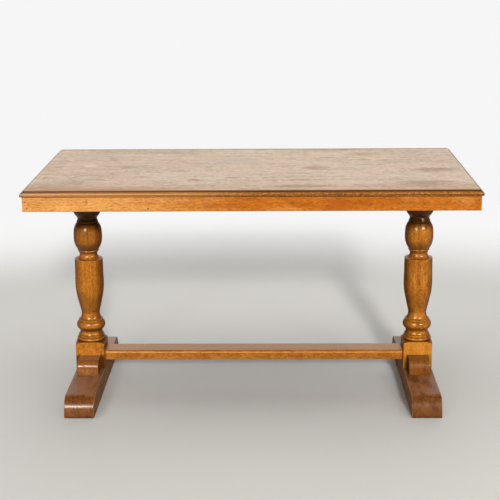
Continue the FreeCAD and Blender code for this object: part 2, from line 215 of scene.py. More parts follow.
def oakGrain(desk, look):
    spot = desk.node("ShaderNodeTexCoord", out="Object")
    split = desk.node("ShaderNodeSeparateXYZ", {}, {0: spot})
    axes = {name: split.other(name) for name in "XYZ"}
    order = look["grain"] + "XYZ".replace(look["grain"], "")
    grain = desk.node("ShaderNodeCombineXYZ", {}, {i: axes[name] for i, name in enumerate(order)})
    grain = grain + look["shift"]
    sway = desk.noise(grain, look["swayStretch"], out="Color")
    push = (0.0, look["sway"], look["sway"])
    bent = desk.node("ShaderNodeVectorMath", {"operation": "MULTIPLY_ADD"}, {0: sway, 1: push, 2: grain})

    heart = (bent - look["pith"]) * (look["taper"], 1.0, 1.0)
    ring = heart.length() * (1 / look["ringPitch"])
    early = 1 - desk.span(ring.alone("FRACT"), 0.05, 0.5)
    facing = desk.node("ShaderNodeSeparateXYZ", {}, {0: desk.node("ShaderNodeNewGeometry", out="Normal")})
    return {
        **axes, "spot": spot, "bent": bent, "early": early,
        "year": desk.node("ShaderNodeTexWhiteNoise", {"noise_dimensions": "1D"}, {"W": ring.alone("FLOOR")}),
        "pore": desk.span(desk.noise(bent, look["poreStretch"], 1.0), 0.58, 0.72) * (0.3 + 0.7 * early),
        "streak": desk.noise(bent, look["streakStretch"], 4.0, 0.55),
        "fibre": desk.noise(bent, look["fibreStretch"], 3.0, 0.6),
        "patch": desk.noise(bent, look["patchStretch"], 4.0, 0.6),
        "speck": desk.noise(bent, look["speckStretch"], 2.0, 0.6),
        "fleck": desk.span(desk.noise(bent, look["fleckStretch"]), 0.56, 0.68),
        "upward": facing.other("Z"),
        "rightward": facing.other("X"),
        "endGrain": desk.span(abs(facing.other(look["grain"])), 0.25, 0.95),
    }


def grainTone(wood, shares):
    return sum(share * wood[name] for name, share in shares.items())


def cutFrom(look, grain, shift):
    # the same timber, with its grain another way and from another place in the tree
    side, up = 0.3 * shift, 0.7 * shift
    pith = (0.0, look["pith"][1] + side, look["pith"][2] + up)
    return {**look, "grain": grain, "shift": (shift, side, up), "pith": pith}


topFinish = {
    "tones": ((0.38, (0.365, 0.248, 0.168)), (0.50, (0.545, 0.425, 0.326)), (0.62, (0.665, 0.560, 0.460))),
    "grainMix": {"streak": 0.20, "fibre": 0.10, "blotch": 0.40, "year": 0.06, "speck": 0.24},
    "boardShift": (0.37, 0.21, 0.13),
    "pithSides": (-0.05, 0.04, 0.0, 0.06, -0.03),     # one for each board
    "pithRise": 0.60,
    "pink": (0.635, 0.450, 0.346),
    "olive": (0.480, 0.400, 0.278),
    "bleached": (0.665, 0.565, 0.462),
    "stain": (0.200, 0.110, 0.052),
    "grey": (0.390, 0.360, 0.300),
    "warm": (0.900, 0.800, 0.700),
    "lip": (0.420, 0.190, 0.060),
    "quirk": (0.050, 0.018, 0.005),
    "edgeLeft": (0.510, 0.200, 0.035),
    "edgeRight": (0.340, 0.108, 0.010),
    "edgeEnds": (0.260, 0.130, 0.060),
    "edgeDark": (0.120, 0.042, 0.010),
    "bare": (0.620, 0.340, 0.110),
    "roughness": 0.64,
    "specular": 0.10,
    "gleam": (1.0, 0.86, 0.68),
    "edgeRoughness": 0.34,
    "handMiddle": 0.05,     # the front is cleanest here
    "handReach": (0.12, 0.45),
    "endBand": (11.0 * mm, 9.0 * mm),
    # stains and rubbed places: middle x, y, half length, half width, colour, share
    "marks": (
        (-0.600, -0.290, 0.110, 0.085, "stain", 0.22), (-0.423, -0.340, 0.300, 0.035, "stain", 0.20),
        (-0.540, -0.235, 0.060, 0.040, "stain", 0.25), (-0.517, 0.255, 0.080, 0.050, "grey", 0.35),
        (-0.067, 0.128, 0.120, 0.080, "grey", 0.32), (0.204, -0.006, 0.040, 0.050, "stain", 0.35),
        (0.154, -0.303, 0.110, 0.030, "stain", 0.45), (0.535, -0.250, 0.110, 0.040, "stain", 0.45),
        (0.582, -0.041, 0.090, 0.040, "stain", 0.50), (0.374, 0.255, 0.070, 0.040, "stain", 0.35),
        (-0.175, -0.202, 0.030, 0.012, "stain", 0.60), (-0.059, -0.164, 0.030, 0.010, "stain", 0.60),
        (-0.533, 0.046, 0.035, 0.020, "bleached", 0.80),
    ),
    "split": ((-0.686, -0.012), (-0.620, -0.044), 3.2 * mm),
}


def topMarks(desk, colour, wood, low, high):
    # the stains of this board, then the split that runs in from the left end
    x, y = wood["X"], wood["Y"]
    frayed = 1.6 * desk.noise(wood["spot"], (45.0, 75.0, 75.0), 4.0, 0.6) - 0.8
    for middleX, middleY, halfX, halfY, tint, share in topFinish["marks"]:
        if low.y - halfY < middleY < high.y + halfY:
            mask = desk.oval(x, y, (middleX, middleY), (halfX, halfY), frayed)
            colour = desk.blend(colour, topFinish[tint], mask * share)
    start, end, width = topFinish["split"]
    if low.y < start[1] < high.y:
        run = Vector(end) - Vector(start)
        along = ((x - start[0]) * run.x + (y - start[1]) * run.y) * (1 / run.length_squared)
        off = ((y - start[1]) * run.x - (x - start[0]) * run.y) * (1 / run.length) + 0.006 * frayed
        mask = desk.span(abs(off), width, 0.2 * width) * desk.span(along, 1.0, 0.6)
        colour = desk.blend(colour, topFinish["stain"], mask * 0.8)
    return colour


def makeTopFinish(number):
    material, desk = newFinish("topOak%d" % number)
    look = topFinish
    low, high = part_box("top_board_%d" % number)
    shift = tuple(part * number for part in look["boardShift"])
    pith = (0.0, look["pithSides"][number - 1] + shift[1], look["pithRise"] + shift[2])
    wood = oakGrain(desk, {**oakLook, "shift": shift, "pith": pith})

    wood["blotch"] = desk.noise(wood["spot"], (26.0, 30.0, 30.0), 6.0, 0.76)
    cast = desk.noise(wood["bent"], (7.0, 18.0, 18.0), 5.0, 0.68)
    slow = desk.noise(wood["bent"], (2.6, 12.0, 12.0), 3.0, 0.6)
    worn = desk.span(slow, 0.46, 0.62)
    stained = desk.span(slow, 0.45, 0.32)
    colour = desk.coats(
        desk.ramp(grainTone(wood, look["grainMix"]), look["tones"]), look,
        ("pink", 0.55 * desk.span(cast, 0.48, 0.62)),
        ("olive", 0.50 * desk.span(cast, 0.47, 0.36)),
        ("bleached", 0.30 * worn),
        ("stain", 0.20 * stained),
        ("stain", 0.34 * wood["fleck"]),
        ("stain", 0.55 * wood["pore"]),
    )
    colour = topMarks(desk, colour, wood, low, high)

    # the front is stained by hands, most of all towards its ends
    toEnds = desk.span(abs(wood["X"] - look["handMiddle"]), *look["handReach"], 0.40, 1.0)
    colour = desk.blend(colour, look["warm"], desk.mark("front") * toEnds, "MULTIPLY")
    colour = desk.coats(
        colour, look,
        ("lip", desk.mark("lip") * desk.span(wood["blotch"], 0.36, 0.56, 0.85, 0.60)),
        ("edgeDark", 0.90 * desk.mark("brink")),
    )

    # the moulded edge keeps its varnish at the left, and is chipped and darker to the right
    edge = desk.mark("edge")
    chipped = desk.mark("chipped")
    ends = desk.span(abs(wood["X"]), *(high.x - inset for inset in look["endBand"]))
    grainy = desk.span(0.5 * wood["fibre"] + 0.5 * wood["streak"], 0.50, 0.38)
    rough = desk.noise(wood["spot"], (110.0, 240.0, 240.0), 4.0, 0.70)
    edgeColour = desk.coats(
        desk.blend(look["edgeLeft"], look["edgeRight"], chipped), look,
        ("edgeEnds", 0.8 * ends),
        ("edgeDark", 0.45 * grainy),
        ("bare", desk.span(rough, 0.54, 0.66) * (0.06 + 0.70 * chipped)),
        ("edgeDark", desk.span(rough, 0.50, 0.36) * (0.20 + 0.70 * chipped)),
        ("edgeDark", desk.mark("upper") * (0.56 + 0.24 * chipped)),
    )
    # the quirk and the groove darker, and the painted shadow along the moulding's underside
    colour = desk.coats(colour, look, (edgeColour, edge), ("quirk", 0.92 * desk.mark("hollow")))

    scratch = desk.noise(wood["spot"], (35.0, 900.0, 900.0))
    gloss = look["roughness"] + 0.16 * worn + 0.10 * wood["pore"] - 0.10 * stained
    gloss = gloss + 0.08 * desk.span(scratch, 0.55, 0.65)
    edgeGloss = look["edgeRoughness"] + 0.36 * chipped + 0.1 * wood["pore"]
    gloss = gloss + (edgeGloss - gloss) * edge
    dent = desk.noise(wood["spot"], (55.0, 70.0, 70.0), 3.0)
    height = 0.5 * wood["fibre"] - 0.8 * wood["pore"] + 1.2 * dent * (0.35 + chipped)
    coat = {"Coat Weight": edge * (0.40 - 0.36 * chipped), "Coat Roughness": 0.36}
    desk.close(desk.surface(colour, gloss, desk.relief(height, 0.35 * mm), {**sheen(look), **coat}))
    return material


apronGrain = {
    **oakLook,
    "ringPitch": 0.0036,
    "sway": 0.010,
    "pith": (0.0, -0.254, 0.66),
    "streakStretch": (7.0, 80.0, 110.0),
    "fibreStretch": (22.0, 300.0, 300.0),
    "fleckStretch": (55.0, 340.0, 340.0),
    "speckStretch": (95.0, 220.0, 220.0),
}
apronFinish = {
    "tones": ((0.38, (0.320, 0.074, 0.004)), (0.50, (0.490, 0.130, 0.007)), (0.62, (0.630, 0.204, 0.016))),
    "paleTones": (
        (0.38, (0.560, 0.220, 0.045)), (0.50, (0.750, 0.340, 0.088)), (0.62, (0.850, 0.425, 0.136)),
    ),
    "grainMix": {"streak": 0.14, "fibre": 0.14, "patch": 0.26, "year": 0.06, "speck": 0.40},
    "deep": (0.400, 0.092, 0.005),
    "brown": (0.240, 0.066, 0.008),
    "iron": (0.045, 0.018, 0.006),
    "roughness": 0.42,
    "specular": 0.20,
    "gleam": (1.0, 0.80, 0.58),
    "paleReach": (0.06, -0.46),           # paler from here to there, along the rail
    "overhangShadowBand": (3.0 * mm, 1.0 * mm),    # painted shadow under the top's overhang
    "jointReach": (-0.20, 0.30),
    "dent": ((-0.306, 0.677), (4.0 * mm, 4.0 * mm)),
    "pinStain": (3.2 * mm, 3.2 * mm),
}


def makeApronFinish(name, grain, shift):
    material, desk = newFinish(name)
    look = apronFinish
    wood = oakGrain(desk, cutFrom(apronGrain, grain, shift))
    tone = grainTone(wood, look["grainMix"])
    pale = desk.ramp(tone, look["paleTones"])
    along, rise = wood[grain], wood["Z"]
    cloud = desk.noise(wood["bent"], (7.0, 14.0, 14.0), 3.0, 0.55)
    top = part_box("apron_front")[1].z
    # painted shadow of the top's overhang along the rail's upper edge
    joint = desk.span(rise + 0.003 * (wood["fibre"] - 0.5), *(top - drop for drop in look["overhangShadowBand"]))
    colour = desk.coats(
        desk.ramp(tone, look["tones"]), look,
        ("deep", 0.75 * desk.span(cloud, 0.50, 0.38)),
        (pale, 0.85 * desk.span(along + 0.5 * (cloud - 0.5), *look["paleReach"])),
        (pale, 0.30 * desk.span(cloud, 0.56, 0.70)),
        ("brown", 0.55 * wood["fleck"]),
        ("brown", 0.50 * wood["pore"]),
        # dirt and painted shade in the hollows
        ("brown", 0.50 * desk.mark("hollow")),
        (pale, 0.25 * desk.mark("arris")),
        # the painted overhang shadow, stronger towards the right
        ("brown", joint * desk.span(along, *look["jointReach"], 0.45, 0.95)),
    )
    if grain == "X":
        stains = [desk.oval(along, rise, place, look["pinStain"], 0.0) for place in pinPlaces()]
        dent = desk.oval(along, rise, *look["dent"], 1.2 * wood["fibre"] - 0.6)
        colour = desk.coats(colour, look, *(("brown", 0.7 * stain) for stain in stains), ("iron", 0.8 * dent))
    gloss = look["roughness"] + 0.10 * wood["pore"] + 0.20 * (wood["patch"] - 0.5)
    bump = desk.noise(wood["spot"], (40.0, 60.0, 60.0), 3.0)
    height = 0.4 * wood["fibre"] - 0.8 * wood["pore"] + 0.5 * bump
    desk.close(desk.surface(colour, gloss, desk.relief(height, 0.3 * mm), sheen(look)))
    return material


standGrain = {
    **oakLook,
    "ringPitch": 0.0032,
    "sway": 0.010,
    "pith": (0.0, 0.07, 0.16),
    "streakStretch": (9.0, 60.0, 60.0),
    "fibreStretch": (60.0, 330.0, 330.0),
    "patchStretch": (22.0, 30.0, 30.0),
    "fleckStretch": (130.0, 330.0, 330.0),
    "speckStretch": (150.0, 230.0, 230.0),
}
standFinish = {
    "tones": ((0.38, (0.220, 0.060, 0.004)), (0.50, (0.460, 0.146, 0.009)), (0.62, (0.660, 0.250, 0.022))),
    "grainMix": {"streak": 0.10, "fibre": 0.14, "patch": 0.30, "year": 0.06, "speck": 0.40},
    "scuffMix": {"patch": 0.35, "streak": 0.35, "speck": 0.30},
    "fleck": (0.090, 0.026, 0.003),
    # dark brown for dirt and painted shade in the creases, for the dark joints, and for the painted shadows
    # at the floor, on the collar and beside the step
    "groove": (0.055, 0.013, 0.001),
    "endGrain": (0.110, 0.034, 0.006),
    # dark brown for painted shade on the columns' sides and urn, and for the darker turned shoulders
    "stainAndShade": (0.100, 0.020, 0.001),
    "rubbed": (0.700, 0.300, 0.040),
    "dustAndSheen": (0.480, 0.320, 0.230),
    # paler tint for painted light on the feet's sides
    "side": (0.450, 0.180, 0.050),
    "roughness": 0.28,
    "specular": 0.45,
    "mattSpecular": 0.05,
    "gleam": (1.0, 0.76, 0.50),
    "endShare": 0.55,
    "shoulderShare": 0.70,
    "arrisShare": 0.55,
    "arrisLow": 0.0,
    "paintedSideShare": 0.0,
    "jointShare": 0.0,
    "dustAndSheenShare": 0.0,
    "deeper": 0.0,
    "scuffLow": 0.0,
    "scuffFrom": 0.92,
    # heights and places where a tint starts and is full
    "urnShadowRise": (0.440, 0.560),
    "neckShadowRise": (0.550, 0.590),
    "contactShadowRise": (9.0 * mm, 4.0 * mm),
    "dustAndSheenReach": (0.10, 0.24),
    # the same, counted from the base block's top and side, and from the step's side and top
    "overBlock": (4.0 * mm, -4.0 * mm),
    "jointReach": (-7.0 * mm, -1.0 * mm),
    "besideStepShadow": (-3.0 * mm, 1.0 * mm),
    "overStep": (12.0 * mm, -2.0 * mm),
    "shadowSlope": 0.6,
}
footFinish = {
    **standFinish,
    "tones": ((0.38, (0.075, 0.020, 0.003)), (0.50, (0.165, 0.048, 0.007)), (0.62, (0.270, 0.094, 0.020))),
    "fleck": (0.040, 0.012, 0.003),
    "rubbed": (0.400, 0.200, 0.085),
    "scuff": (0.245, 0.096, 0.040),
    "specular": 0.46,
    "gleam": (1.0, 0.86, 0.72),
    "endShare": 0.10,
    "dustAndSheenShare": 0.45,
}
stepFinish = {
    **footFinish,
    "tones": ((0.38, (0.115, 0.030, 0.003)), (0.50, (0.255, 0.078, 0.008)), (0.62, (0.390, 0.140, 0.022))),
    "scuff": (0.165, 0.052, 0.010),
    # darker tint for painted shade on the steps' sides
    "side": (0.050, 0.015, 0.002),
    "paintedSideShare": 0.5,
}
stretcherFinish = {
    **standFinish,
    "tones": ((0.38, (0.200, 0.055, 0.005)), (0.50, (0.390, 0.122, 0.013)), (0.62, (0.540, 0.205, 0.030))),
    "scuff": (0.540, 0.275, 0.130),
    "rubbed": (0.800, 0.370, 0.100),
    "arrisLow": 0.55,
    "endShare": 0.0,
    "scuffLow": 0.72,
    "scuffFrom": 0.90,
    "arrisShare": 0.65,
    "jointShare": 0.75,
}


def columnTints(desk, colour, wood, look):
    # painted shade: the sides darker, the inner ones most
    inward, rise = wood["rightward"] * look["inner"], wood["Z"]
    return desk.coats(
        colour, look,
        ("stainAndShade", 0.68 * desk.span(inward, 0.35, 1.0)),
        ("stainAndShade", 0.52 * desk.span(inward, -0.35, -0.95)),
        ("rubbed", look["blockShare"] * desk.span(rise - look["baseTop"], *look["overBlock"])),
        # painted shadow of the apron over the urn
        ("stainAndShade", look["urnShadowShare"] * desk.span(rise, *look["urnShadowRise"])),
        ("stainAndShade", look["shoulderShare"] * desk.mark("shoulder")),
        # painted shadow of the apron over the collar
        ("groove", look["neckShadowShare"] * desk.span(rise, *look["neckShadowRise"])),
        # painted shade on faces turned down
        ("endGrain", look["undersideShadeShare"] * desk.span(wood["upward"], 0.0, -0.45)),
    )


def besideStepShadow(desk, wood, look):
    # painted shadow of the step on the front and back of the base block, to either side of it
    low, high = look["step"]
    aside = abs(wood["X"] - look["axis"]) - (high.x - low.x) / 2
    above = wood["Z"] + look["shadowSlope"] * aside - high.z
    grimeAndShadow = desk.span(aside, *look["besideStepShadow"]) * desk.span(above, *look["overStep"])
    return grimeAndShadow * desk.span(abs(wood["rightward"]), 0.75, 0.45) * look["stepShadowShare"]


def barTints(desk, colour, wood, look, dull):
    # a painted contact shadow at the floor, and painted light and shade on the sides: paler on the feet,
    # darker on the steps
    sole = desk.span(wood["Z"] + 0.004 * (wood["patch"] - 0.5), *look["contactShadowRise"])
    uneven = desk.span(0.5 * wood["patch"] + 0.5 * wood["speck"], 0.40, 0.60, 0.60, 1.0)
    return desk.coats(colour, look, ("groove", 0.8 * sole), ("side", dull * uneven * look["paintedSideShare"]))


def trodTints(desk, colour, wood, look, trod):
    # scuffs on top, dust and a painted sheen towards the back, and the dark ends where a bar meets the blocks
    toBlock = abs(wood["X"]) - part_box("right_column")[0].x
    dusty = desk.span(grainTone(wood, look["scuffMix"]), 0.42, 0.55, look["scuffLow"], 0.95)
    return desk.coats(
        colour, look,
        ("scuff", trod * dusty),
        ("dustAndSheen", trod * desk.span(wood["Y"], *look["dustAndSheenReach"]) * look["dustAndSheenShare"]),
        ("groove", look["jointShare"] * desk.span(toBlock, *look["jointReach"])),
    )


def makeStandFinish(name, grain, shift, look):
    material, desk = newFinish(name)
    wood = oakGrain(desk, cutFrom(standGrain, grain, shift))
    isColumn = grain == "Z"
    colour = desk.coats(
        desk.ramp(grainTone(wood, look["grainMix"]), look["tones"]), look,
        ("endGrain", look["deeper"]),
        ("fleck", 0.55 * wood["fleck"]),
        ("fleck", 0.55 * wood["pore"]),
        ("endGrain", look["endShare"] * wood["endGrain"]),
    )
    dull = desk.span(abs(wood["rightward"]), 0.55, 0.92)
    if isColumn:
        colour = columnTints(desk, colour, wood, look)
    else:
        colour = barTints(desk, colour, wood, look, dull)
    patchy = desk.span(desk.noise(wood["spot"], (60.0, 60.0, 60.0), 3.0, 0.6), 0.36, 0.58, look["arrisLow"])
    colour = desk.coats(
        colour, look,
        # dirt and painted shade in the creases
        ("groove", 0.95 * desk.mark("hollow")),
        ("rubbed", desk.mark("arris") * patchy * look["arrisShare"]),
    )
    gloss = look["roughness"] + 0.12 * wood["pore"] + 0.20 * (wood["patch"] - 0.5)
    if isColumn:
        # painted shadow of the step on the base block
        colour = desk.coats(colour, look, ("groove", besideStepShadow(desk, wood, look)))
    else:
        # upward faces near the floor are scuffed by shoes
        trod = desk.span(wood["upward"], look["scuffFrom"], 0.98)
        colour = trodTints(desk, colour, wood, look, trod)
        gloss = gloss + 0.06 * trod
    bump = desk.noise(wood["spot"], (60.0, 60.0, 60.0), 3.0)
    normal = desk.relief(0.4 * wood["fibre"] - 0.8 * wood["pore"] + 0.5 * bump, 0.14 * mm)
    varnished = desk.surface(colour, gloss, normal, sheen(look))
    matt = desk.surface(colour, gloss + 0.4, normal, sheen({**look, "specular": look["mattSpecular"]}))
    desk.close(desk.node("ShaderNodeMixShader", {}, {0: dull * 0.85, 1: varnished, 2: matt}))
    return material


softwoodFinish = {
    "tones": ((0.32, (0.330, 0.200, 0.095)), (0.50, (0.500, 0.340, 0.180)), (0.68, (0.620, 0.460, 0.270))),
    "grainMix": {"streak": 0.35, "fibre": 0.35, "early": 0.30},
    "knot": (0.210, 0.110, 0.050),
    "roughness": 0.72,
    "ringPitch": 0.005,
}


def makeSoftwoodFinish(name, grain, shift):
    material, desk = newFinish(name)
    look = softwoodFinish
    wood = oakGrain(desk, {
        **oakLook, "grain": grain, "shift": (shift, shift, 0.4 * shift), "ringPitch": look["ringPitch"],
    })
    colour = desk.ramp(grainTone(wood, look["grainMix"]), look["tones"])
    grimeAndShadow = desk.span(desk.noise(wood["spot"], (14.0, 14.0, 14.0), 4.0, 0.6), 0.40, 0.66)
    colour = desk.blend(colour, look["knot"], grimeAndShadow * 0.35)
    saw = desk.noise(wood["spot"], (260.0, 260.0, 260.0))
    normal = desk.relief(0.6 * wood["fibre"] + 0.4 * saw, 0.5 * mm)
    desk.close(desk.surface(colour, look["roughness"] + 0.16 * (wood["fibre"] - 0.5), normal, {}))
    return material


steelFinish = {
    "tones": ((0.35, (0.075, 0.062, 0.052)), (0.55, (0.190, 0.175, 0.160)), (0.72, (0.330, 0.310, 0.285))),
    "rust": (0.120, 0.045, 0.016),
    "roughness": 0.42,
}


def makeSteelFinish(name, metallic, rusted=0.0, specular=0.5):
    material, desk = newFinish(name)
    look = steelFinish
    spot = desk.node("ShaderNodeTexCoord", out="Object")
    cloud = desk.noise(spot, (420.0, 420.0, 420.0), 4.0, 0.6)
    rust = desk.span(desk.noise(spot, (230.0, 230.0, 230.0), 4.0, 0.65), 0.50, 0.64, rusted, 1.0)
    colour = desk.blend(desk.ramp(cloud, look["tones"]), look["rust"], rust * 0.8)
    normal = desk.relief(cloud + rust, 0.1 * mm)
    metal = {"Metallic": metallic * (1 - rust), "Specular IOR Level": specular}
    desk.close(desk.surface(colour, look["roughness"] + 0.3 * rust, normal, metal))
    return material


# Mesh work shared by the pieces

def makePiece(name, points, faces):
    mesh = bpy.data.meshes.new(name)
    mesh.from_pydata([tuple(point) for point in points], [], faces)
    mesh.update()
    piece = bpy.data.objects.new(name, mesh)
    scene.collection.objects.link(piece)
    return piece


def gridFaces(rows, columns, wrap):
    faces = []
    for row in range(rows - 1):
        here, above = row * columns, (row + 1) * columns
        for i in range(columns if wrap else columns - 1):
            beside = (i + 1) % columns
            faces.append((here + i, here + beside, above + beside, above + i))
    return faces


def weld(piece):
    work = bmesh.new()
    work.from_mesh(piece.data)
    bmesh.ops.remove_doubles(work, verts=work.verts, dist=1e-6)
    bmesh.ops.dissolve_degenerate(work, edges=work.edges, dist=1e-7)
    bmesh.ops.recalc_face_normals(work, faces=work.faces)
    work.to_mesh(piece.data)
    work.free()
    piece.data.update()


def readPoints(mesh):
    place = np.empty(len(mesh.vertices) * 3)
    facing = np.empty(len(mesh.vertices) * 3)
    mesh.vertices.foreach_get("co", place)
    mesh.vertex_normals.foreach_get("vector", facing)
    return place.reshape(-1, 3), facing.reshape(-1, 3)


def setMark(piece, name, values):
    mark = piece.data.attributes.get(name) or piece.data.attributes.new(name, "FLOAT", "POINT")
    mark.data.foreach_set("value", np.clip(values, 0, 1).astype(np.float32))


def ease(values, low, high):
    share = np.clip((values - low) / (high - low), 0, 1)
    return share * share * (3 - 2 * share)


def markEdges(piece, blunt=14 * mm, sharp=2.5 * mm, spread=1):
    # arris and hollow come from how tightly the surface bends at each point
    mesh = piece.data
    place, facing = readPoints(mesh)
    pairs = np.empty(len(mesh.edges) * 2, dtype=np.int64)
    mesh.edges.foreach_get("vertices", pairs)
    pairs = pairs.reshape(-1, 2)
    pairs = np.concatenate([pairs, pairs[:, ::-1]])
    stride = place[pairs[:, 1]] - place[pairs[:, 0]]
    length = np.maximum(np.linalg.norm(stride, axis=1), 0.8 * mm)
    bend = 2 * (stride * facing[pairs[:, 0]]).sum(1) / length**2
    tightest = np.zeros((2, len(place)))
    np.maximum.at(tightest[0], pairs[:, 0], -bend)
    np.maximum.at(tightest[1], pairs[:, 0], bend)
    for name, values in zip(("arris", "hollow"), tightest):
        values = ease(values, 1 / blunt, 1 / sharp)
        for _ in range(spread):
            around = np.zeros(len(place))
            count = np.zeros(len(place))
            np.add.at(around, pairs[:, 0], values[pairs[:, 1]])
            np.add.at(count, pairs[:, 0], 1)
            values = 0.5 * values + 0.5 * around / count
        setMark(piece, name, values)


def weather(piece, wear, strength=None):
    # slow waves over the whole surface, and chips where strength allows them
    place, facing = readPoints(piece.data)
    strength = np.ones(len(place)) if strength is None else strength
    shift = np.empty(len(place))
    for i, point in enumerate(place):
        spot = Vector(point)
        shift[i] = wear["wave"] * noise.noise(spot * wear["wavePitch"])
        if strength[i] > 0:
            bite = noise.turbulence(spot * wear["chipPitch"], 3, False) - wear["chipStart"]
            shift[i] -= wear["chip"] * strength[i] * min(max(bite, 0) * 2, 1)
    place = place + facing * shift[:, None]
    piece.data.vertices.foreach_set("co", place.ravel())
    piece.data.update()


def dress(piece, material, node, corner=38):
    piece.data.materials.append(material)
    piece.data.shade_smooth()
    piece.data.set_sharp_from_angle(angle=math.radians(corner))
    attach(piece, "root")
    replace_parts(piece, node)


def arc(middle, radius, start, end, parts):
    turns = [math.radians(start + (end - start) * part / parts) for part in range(parts + 1)]
    return [(middle[0] + radius * math.cos(turn), middle[1] + radius * math.sin(turn)) for turn in turns]


def boxOutline(sides, radii, parts, pitch, inset):
    # a box with rounded corners, anticlockwise from its lower left, drawn in by the inset
    low, high, bottom, top = sides
    corners = ((low, bottom, 1, 1), (high, bottom, -1, 1), (high, top, -1, -1), (low, top, 1, -1))
    runs = (high - low, top - bottom, high - low, top - bottom)
    bends = []
    for i, (x, y, right, up) in enumerate(corners):
        soft = max(radii[i] - inset, 0.0)
        middle = (x + right * (inset + soft), y + up * (inset + soft))
        bends.append(arc(middle, soft, 180 + 90 * i, 270 + 90 * i, parts[i]))
    outline = []
    for i, bend in enumerate(bends):
        (startX, startY), (endX, endY) = bend[-1], bends[(i + 1) % 4][0]
        count = max(1, round((runs[i] - radii[i] - radii[(i + 1) % 4]) / pitch))
        shares = [part / count for part in range(1, count)]
        outline += bend
        outline += [(startX + (endX - startX) * share, startY + (endY - startY) * share) for share in shares]
    return outline


def roundedStations(low, high, arris, pitch, parts=4):
    # places along a bar, and how far its outline draws in there
    turns = [math.pi / 2 * part / parts for part in range(parts + 1)]
    start = [(low + arris * (1 - math.cos(turn)), arris * (1 - math.sin(turn))) for turn in turns]
    clear = arris + 1.5 * mm
    first, last = low + clear, high - clear
    count = max(2, round((last - first) / pitch))
    middle = [(first + (last - first) * part / count, 0.0) for part in range(count + 1)]
    end = [(low + high - place, inset) for place, inset in reversed(start)]
    return start + middle + end


def closedTube(name, points, rows, columns):
    # rings of points joined into a skin, with a flat face over each end
    ends = [tuple(range(columns)), tuple(range((rows - 1) * columns, rows * columns))]
    piece = makePiece(name, points, gridFaces(rows, columns, True) + ends)
    weld(piece)
    return piece


def sweptBar(name, shape, stations, toPoint):
    # an outline carried along an axis, with softened and closed ends
    capInsets = (1.5 * mm, 5 * mm)
    first, last = stations[0], stations[-1]
    rings = [(first[0], first[1] + inset) for inset in reversed(capInsets)]
    rings += stations
    rings += [(last[0], last[1] + inset) for inset in capInsets]
    points = []
    for place, inset in rings:
        outline = boxOutline(*shape, inset)
        points += [toPoint(place, out, up) for out, up in outline]
    return closedTube(name, points, len(rings), len(outline))


# Top: five boards with one moulding worked round them

topBoards = {
    "count": 5,
    "quirkDepth": 3.0 * mm,
    "quirkFlat": 1.6 * mm,
    "thumbRadius": 8.0 * mm,
    "land": 3.0 * mm,
    "underRound": 3.0 * mm,
    "groove": 1.5 * mm,
    "edgeArris": 0.6 * mm,
    "jointArris": 0.3 * mm,
    "endPitch": 4.0 * mm,
    "facePitch": 9.0 * mm,
    "thumbParts": 9,
    "chippedFrom": -0.20,     # the front edge is rough from here to the right
    "chippedTo": 0.06,
    # where a mark starts and is full: in from the front, in from the moulding, or up from below
    "frontBand": (140.0 * mm, 40.0 * mm),
    "lipBand": (26.0 * mm, 4.0 * mm),
    "brinkBand": (9.0 * mm, 1.0 * mm),
    "upperBand": (9.0 * mm, 14.0 * mm),
    "underShadowBand": (1.8 * mm, 0.4 * mm),
}
edgeWear = {"wave": 0.12 * mm, "wavePitch": 9.0, "chip": 2.0 * mm, "chipPitch": 70.0, "chipStart": 0.52}


def edgeProfile():
    # (inset from the edge, height above the underside), from the underside up
    top = topBoards
    under, land, thumb, cut = top["underRound"], top["land"], top["thumbRadius"], top["groove"]
    rise = under + land + thumb
    full = rise + top["quirkDepth"]
    back = thumb + top["quirkFlat"]
    soft = top["edgeArris"]
    return (
        arc((under, under), under, 270, 180, 5)
        + [(0.0, under + 0.25 * land), (0.35 * cut, under + 0.45 * land), (cut, under + 0.6 * land)]
        + [(cut, under + 0.75 * land), (0.4 * cut, under + 0.85 * land)]
        + arc((thumb, under + land), thumb, 180, 90, top["thumbParts"])
        + [(back - 0.8 * mm, rise), (back, rise), (back, rise + 0.5 * top["quirkDepth"]), (back, full - soft)]
        + [(back + 0.3 * soft, full - 0.3 * soft), (back + soft, full), (back + 3 * mm, full)]
    )


def underInset(height):
    # how far the rounded lower edge draws in at this height
    under = topBoards["underRound"]
    drop = max(under - height, 0.0)
    return under - math.sqrt(under**2 - drop**2)


def jointProfile(full):
    soft = topBoards["jointArris"]
    return [(0.0, 0.0), (0.0, 0.5 * full), (0.0, full - soft), (soft, full), (1.5 * mm, full)]


def boardStations(low, high, lowProfile, highProfile, pitch):
    full = lowProfile[-1][1]
    first, last = low + lowProfile[-1][0], high - highProfile[-1][0]
    count = round((last - first) / pitch)
    middle = [(first + (last - first) * part / count, full) for part in range(1, count)]
    start = [(low + inset, height) for inset, height in lowProfile]
    end = [(high - inset, height) for inset, height in reversed(highProfile)]
    return start + middle + end


